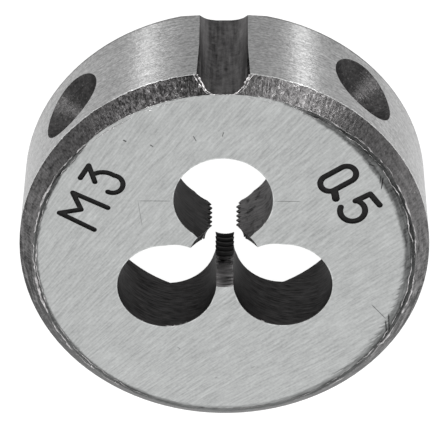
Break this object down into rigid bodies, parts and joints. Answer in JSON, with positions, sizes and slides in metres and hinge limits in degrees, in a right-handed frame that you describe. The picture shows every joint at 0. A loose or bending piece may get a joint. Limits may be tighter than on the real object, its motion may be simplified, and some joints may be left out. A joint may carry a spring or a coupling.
{
  "type": "round threading die",
  "caption": "Round steel threading die with chip holes around a threaded bore, a setting groove and screw dimples in the rim.",
  "frame": {"origin": "centre of the back face, on the die's axis", "axes": "+Z along the die's axis out of the marked face, -Y towards the setting groove"},
  "size_m": [0.025, 0.0249, 0.0088],
  "materials": {
    "tool_steel": "ground faces and rim, darker bevels, groove and holes"
  },
  "bodies": {
    "root": {"round_die": "tool_steel"}
  },
  "joints": []
}
